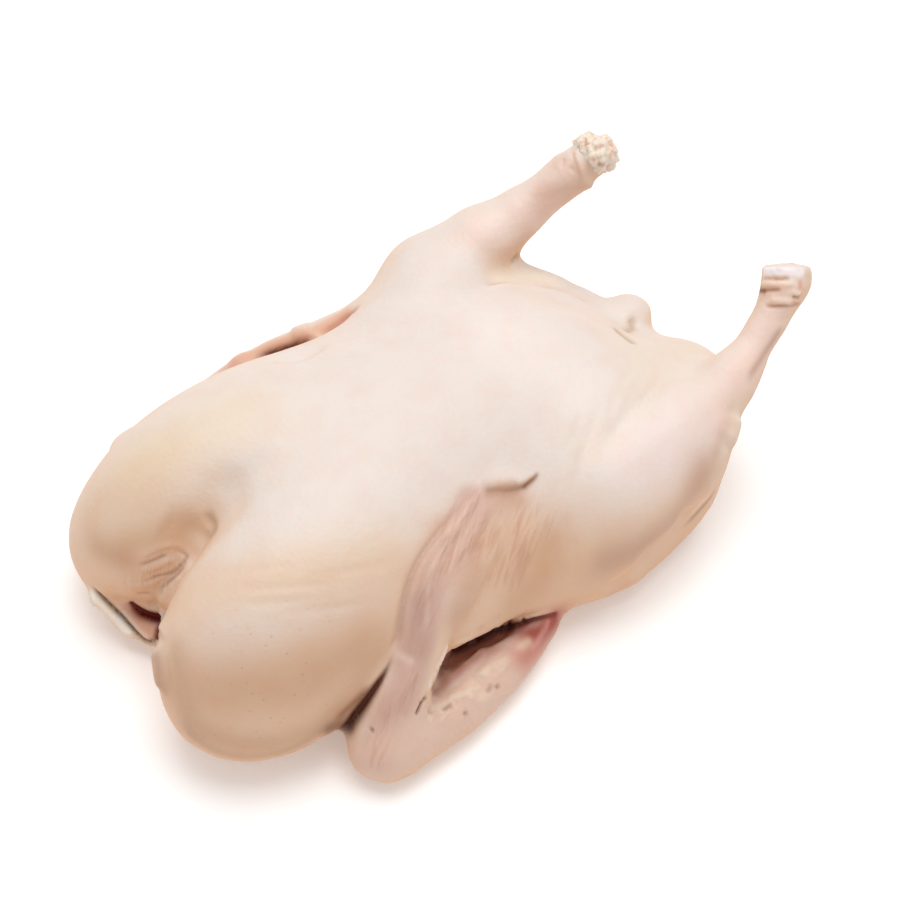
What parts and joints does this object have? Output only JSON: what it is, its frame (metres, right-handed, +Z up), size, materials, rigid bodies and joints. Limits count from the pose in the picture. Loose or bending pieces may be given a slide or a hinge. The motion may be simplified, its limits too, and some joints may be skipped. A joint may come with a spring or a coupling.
{
  "type": "whole raw duck",
  "caption": "Whole raw plucked duck lying on its back, breast up, head and feet cut off, wings folded against the flanks and shanks raised.",
  "frame": {"origin": "middle of the bird's bounding box, on the table it lies on", "axes": "+X along the back from the neck end to the tail, +Y towards the bird's own left side, +Z up from the table through the breast"},
  "size_m": [0.3494, 0.2262, 0.1385],
  "materials": {
    "skin": "satin"
  },
  "bodies": {
    "root": {"duck": "skin"}
  },
  "joints": []
}
